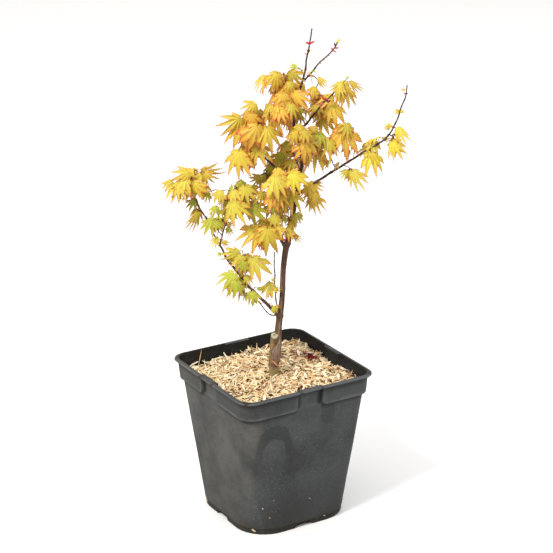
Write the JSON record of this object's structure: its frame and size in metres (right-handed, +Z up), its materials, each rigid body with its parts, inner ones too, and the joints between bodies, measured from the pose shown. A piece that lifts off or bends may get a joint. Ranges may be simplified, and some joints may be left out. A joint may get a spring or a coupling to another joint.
{
  "type": "potted japanese maple",
  "caption": "Young grafted palmate maple with a thin leaning stem, open drooping foliage and bare shoot tips, in a square tapered nursery pot topped with shredded wood mulch.",
  "frame": {"origin": "centre of the pot's flat underside", "axes": "+Z up, along the plant's height; the pot's four sides face +X, -X, +Y and -Y, and the fan of boughs is turned about 31 degrees against them"},
  "size_m": [0.2617, 0.2056, 0.6281],
  "materials": {
    "pot": "matte black moulded plastic, dusty",
    "compost": "dark moist compost",
    "mulch": "pale shredded wood",
    "bark": "smooth grey-brown bark",
    "twig": "dark purple-brown young bark",
    "leaf": "yellow-green leaf with orange-red margins"
  },
  "bodies": {
    "root": {"pot": "pot", "compost": "compost", "mulch": "mulch", "trunk": "bark", "rootstock_stub": "bark", "leader": "bark", "fork_arm": "twig", "second_top_twig": "twig", "right_bough": "twig", "right_bough_tip": "twig", "right_top_twig": "twig", "left_shoulder_bough": "twig", "front_bough": "twig", "middle_front_bough": "twig", "back_bough": "twig", "back_top_bough": "twig", "lower_left_bough": "bark", "lower_left_arm": "twig", "lower_right_arm": "twig", "thin_stem": "twig", "crown_top": "leaf", "crown_front": "leaf", "crown_right_shoulder": "leaf", "upper_right_spray": "leaf", "left_shoulder": "leaf", "left_skirt": "leaf", "crown_heart": "leaf", "right_cluster": "leaf", "bough_mid_leaves": "leaf", "bough_tip_leaves": "leaf", "under_bough_leaves": "leaf", "middle_left": "leaf", "middle_front": "leaf", "middle_right": "leaf", "fork_leaves": "leaf", "lower_middle": "leaf", "left_tip": "leaf", "left_inner": "leaf", "left_hanging": "leaf", "left_low": "leaf", "low_upper": "leaf", "low_left": "leaf", "low_foot": "leaf", "inner_small": "leaf", "back_upper": "leaf", "back_middle": "leaf", "back_lower": "leaf"}
  },
  "joints": []
}
